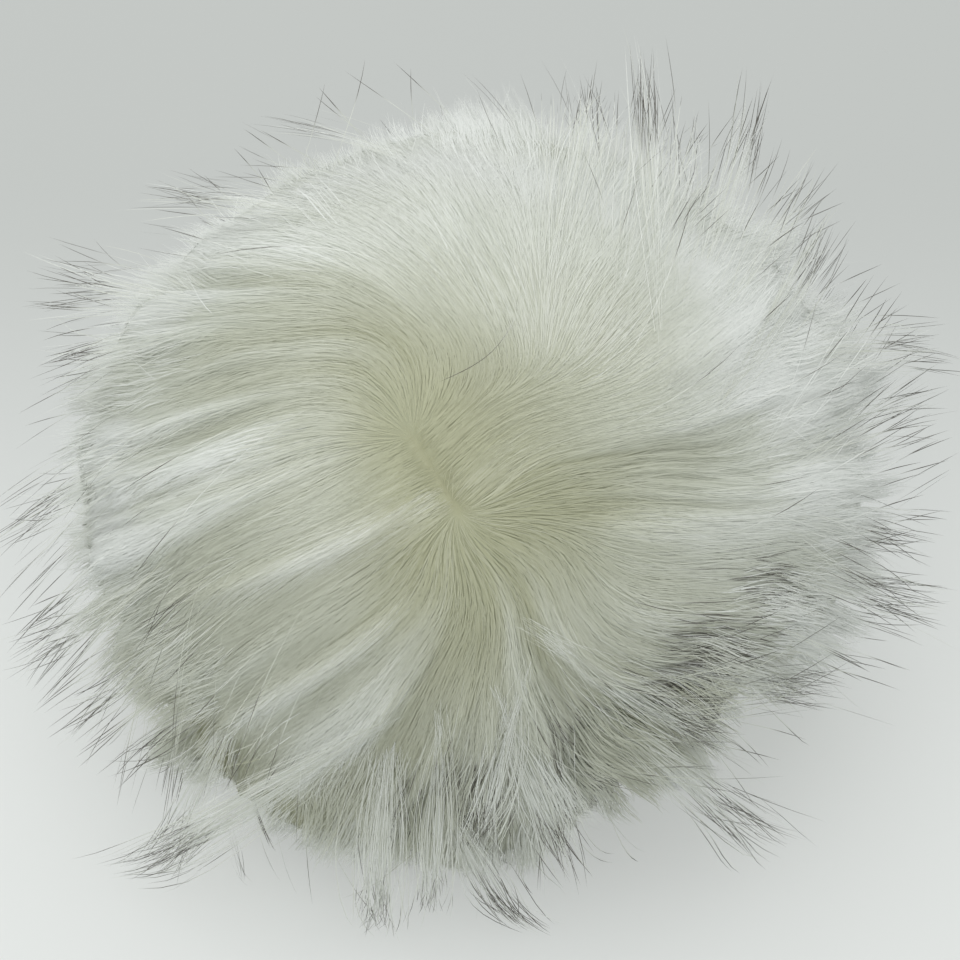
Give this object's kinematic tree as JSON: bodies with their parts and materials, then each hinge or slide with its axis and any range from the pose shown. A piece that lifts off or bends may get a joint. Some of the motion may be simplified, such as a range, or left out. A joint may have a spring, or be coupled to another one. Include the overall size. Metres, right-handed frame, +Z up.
{
  "type": "pom pom",
  "caption": "Round pom pom of long cream fur cloth with dark hair tips, slightly squat, resting on its flattened underside.",
  "frame": {"origin": "centre of the flat resting spot, on the surface that the ball lies on", "axes": "+Z up, away from that surface; -Y is the front, towards which the whorl of the pile leans; +X to the right seen from the front"},
  "size_m": [0.1496, 0.1403, 0.1048],
  "materials": {
    "cream_fur": "long silky pile, cream and dense at the root, white along the hair and dark grey-brown at the tips"
  },
  "bodies": {
    "root": {"fur_ball": "cream_fur"}
  },
  "joints": []
}
